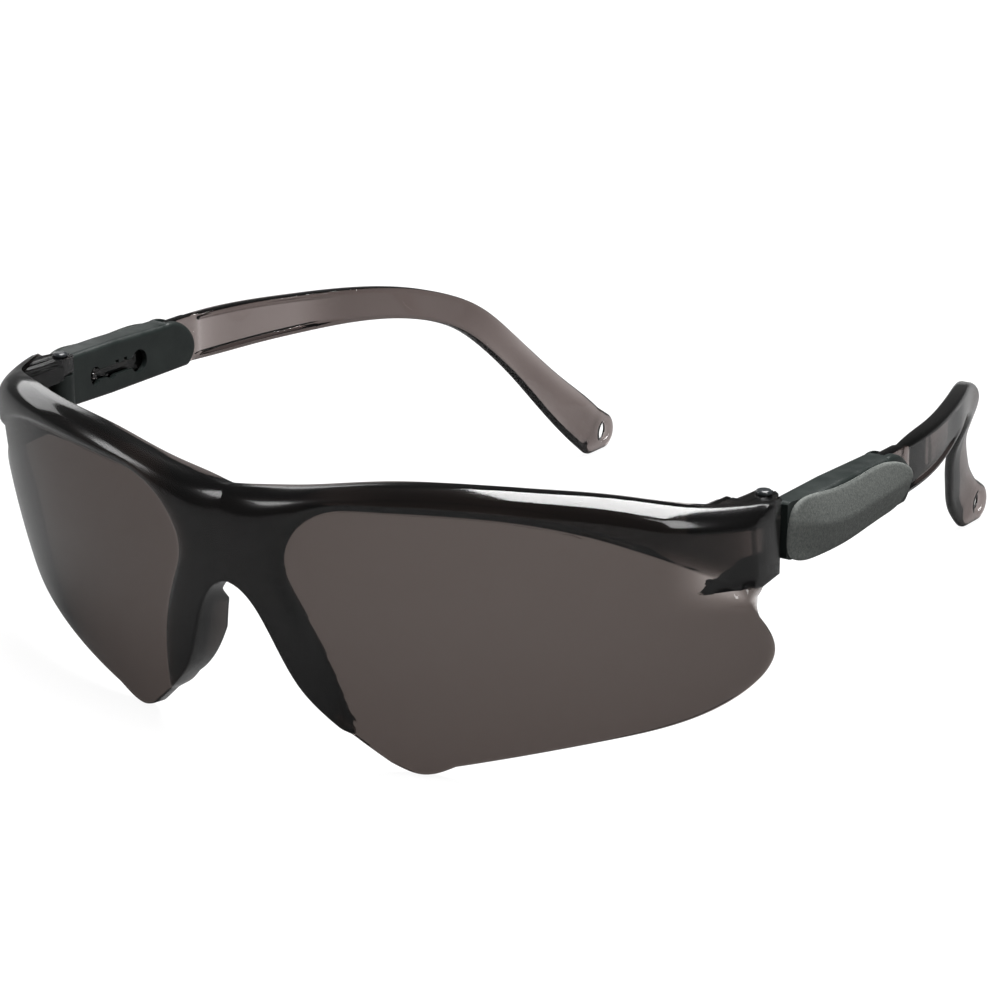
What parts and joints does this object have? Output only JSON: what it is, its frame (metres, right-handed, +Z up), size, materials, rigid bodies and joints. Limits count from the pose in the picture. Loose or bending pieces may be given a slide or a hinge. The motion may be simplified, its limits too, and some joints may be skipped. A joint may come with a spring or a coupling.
{
  "type": "safety glasses",
  "caption": "Wrap-around smoke safety glasses: one-piece lens front with nose flanges and folding, length-adjustable temples with soft grip pads and holed tips.",
  "frame": {"origin": "bottom centre of the whole object's box, on the surface that the lens tips and temple tips stand on", "axes": "+Z up, the wearer looks along -Y, +X towards the wearer's left"},
  "size_m": [0.1454, 0.1702, 0.047],
  "materials": {
    "smoke_lens": "gloss",
    "smoke_temple": "gloss",
    "sleeve": "satin",
    "grip_pad": "fine matte grain",
    "pin": "gloss"
  },
  "bodies": {
    "front": {"front_shield": "smoke_lens", "hinge_pin_left": "pin", "hinge_pin_right": "pin"},
    "sleeve_left": {"temple_sleeve_left": "sleeve", "sleeve_cover_left": "grip_pad"},
    "arm_left": {"temple_arm_left": "smoke_temple"},
    "sleeve_right": {"temple_sleeve_right": "sleeve", "sleeve_cover_right": "grip_pad"},
    "arm_right": {"temple_arm_right": "smoke_temple"}
  },
  "joints": [
    {"name": "fold_left", "type": "hinge", "parent": "front", "child": "sleeve_left", "pos_m": [0.066, -0.04277, 0.038], "axis": [0, 0, 1], "range_deg": [0, 72]},
    {"name": "extend_left", "type": "slide", "parent": "sleeve_left", "child": "arm_left", "axis": [0, 1, 0], "range_m": [0, 0.01125]},
    {"name": "fold_right", "type": "hinge", "parent": "front", "child": "sleeve_right", "pos_m": [-0.066, -0.04277, 0.038], "axis": [0, 0, -1], "range_deg": [0, 80]},
    {"name": "extend_right", "type": "slide", "parent": "sleeve_right", "child": "arm_right", "axis": [0, 1, 0], "range_m": [0, 0.01125]}
  ]
}
